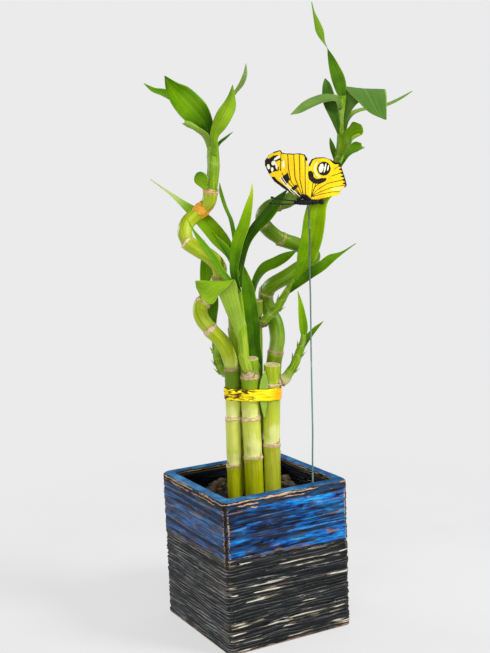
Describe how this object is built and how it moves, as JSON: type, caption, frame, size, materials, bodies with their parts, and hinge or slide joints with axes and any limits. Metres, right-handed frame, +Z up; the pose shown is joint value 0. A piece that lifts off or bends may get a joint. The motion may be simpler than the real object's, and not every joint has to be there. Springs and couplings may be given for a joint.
{
  "type": "potted lucky bamboo",
  "caption": "Bundle of straight and spiralled lucky bamboo stalks with leafy shoots, tied with a gold band in a square blue and charcoal glazed pot, with a butterfly pick.",
  "frame": {"origin": "centre of the flat underside of the pot", "axes": "+Z up; the pot's four faces are parallel to X and Y; the plant's broad side faces between -Y and -X, turned 28.5 degrees from -Y"},
  "size_m": [0.1615, 0.1013, 0.3971],
  "materials": {
    "pot_glaze": "glossy blue glaze over a ridged charcoal lower part",
    "gravel": "dull grey-brown gravel",
    "stalk": "smooth yellow-green cane with tan node rings",
    "shoot": "smooth fresh green",
    "leaf": "satin green with parallel veins",
    "gold_band": "crinkled gold foil",
    "wire": "matt green paint",
    "butterfly_black": "matt black",
    "wing": "printed yellow with dark veins"
  },
  "bodies": {
    "root": {"back_leaf_arched": "leaf", "back_leaf_wide": "leaf", "butterfly_body": "butterfly_black", "butterfly_wing_left": "wing", "butterfly_wing_right": "wing", "centre_leaf_bent": "leaf", "centre_leaf_left": "leaf", "centre_leaf_over": "leaf", "centre_leaf_right": "leaf", "centre_leaf_small": "leaf", "centre_leaf_tall": "leaf", "centre_leaf_twisted": "leaf", "centre_shoot": "shoot", "feeler_lower": "butterfly_black", "feeler_upper": "butterfly_black", "gravel_bed": "gravel", "left_crown_bract": "leaf", "left_crown_leaf_back": "leaf", "left_crown_leaf_broad": "leaf", "left_crown_leaf_far": "leaf", "left_crown_leaf_rolled": "leaf", "left_crown_leaf_round": "leaf", "left_crown_leaf_upright": "leaf", "left_crown_shoot": "shoot", "lower_leaf_right": "leaf", "lower_leaf_up": "leaf", "pebble_1": "gravel", "pebble_2": "gravel", "pebble_3": "gravel", "pebble_4": "gravel", "pebble_5": "gravel", "pebble_6": "gravel", "pick_wire": "wire", "pot": "pot_glaze", "right_crown_leaf_behind": "leaf", "right_crown_leaf_bent": "leaf", "right_crown_leaf_left": "leaf", "right_crown_leaf_low": "leaf", "right_crown_leaf_short": "leaf", "right_crown_leaf_small": "leaf", "right_crown_leaf_tall": "leaf", "right_crown_leaf_thin": "leaf", "right_crown_shoot": "shoot", "side_leaf_left": "leaf", "side_shoot_left": "shoot", "side_shoot_lower": "shoot", "side_shoot_upper": "shoot", "stalk_back": "stalk", "stalk_back_left": "stalk", "stalk_middle": "stalk", "stalk_right": "stalk", "stalk_spiral_left": "stalk", "stalk_spiral_right": "stalk", "tie_band": "gold_band", "tucked_leaf": "leaf", "upper_leaf_right": "leaf", "upper_leaf_wide": "leaf"}
  },
  "joints": []
}
